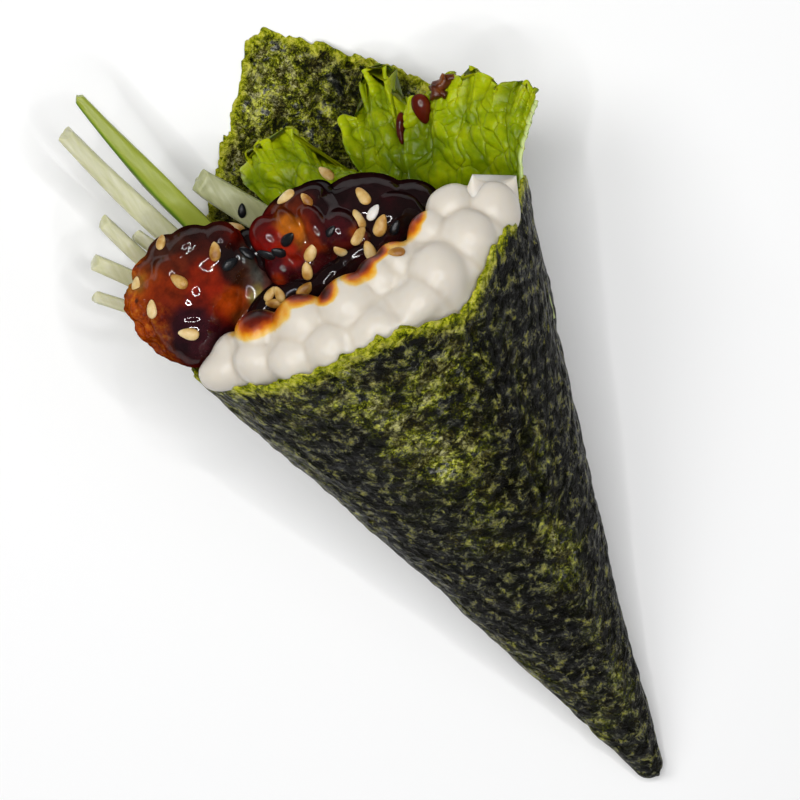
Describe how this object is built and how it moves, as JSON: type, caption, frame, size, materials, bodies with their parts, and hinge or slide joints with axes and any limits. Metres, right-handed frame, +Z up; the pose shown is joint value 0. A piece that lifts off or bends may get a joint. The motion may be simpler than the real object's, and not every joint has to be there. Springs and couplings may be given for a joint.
{
  "type": "temaki hand roll",
  "caption": "Cone of toasted seaweed lying on its side, its open mouth filled with glazed fish, piped cream, cucumber sticks and frilled lettuce.",
  "frame": {"origin": "middle of the roll's footprint, on the surface that it rests on", "axes": "+Y from the closed tip to the open mouth, +X to the right seen from above, +Z up"},
  "size_m": [0.08, 0.1484, 0.0589],
  "materials": {
    "nori": "toasted seaweed sheet, near-black green with olive mottling and a soft gloss",
    "cream": "smooth warm white cream cheese",
    "fish": "fried fish under a dark red-brown glaze",
    "cucumber": "cut cucumber flesh, pale green and moist",
    "lettuce": "fresh leaf, lime green with a faint gloss",
    "sauce": "thick sweet soy sauce, almost black and mirror smooth",
    "sesame": "toasted sesame seed, tan with a few black and white ones"
  },
  "bodies": {
    "root": {"nori_wrap": "nori", "piped_cream": "cream", "glazed_fish_left": "fish", "glazed_fish_right": "fish", "cucumber_stick_1": "cucumber", "cucumber_stick_2": "cucumber", "cucumber_stick_3": "cucumber", "cucumber_stick_4": "cucumber", "cucumber_stick_5": "cucumber", "cucumber_stick_6": "cucumber", "cucumber_stick_7": "cucumber", "lettuce_right": "lettuce", "lettuce_middle": "lettuce", "lettuce_left": "lettuce"}
  },
  "joints": []
}
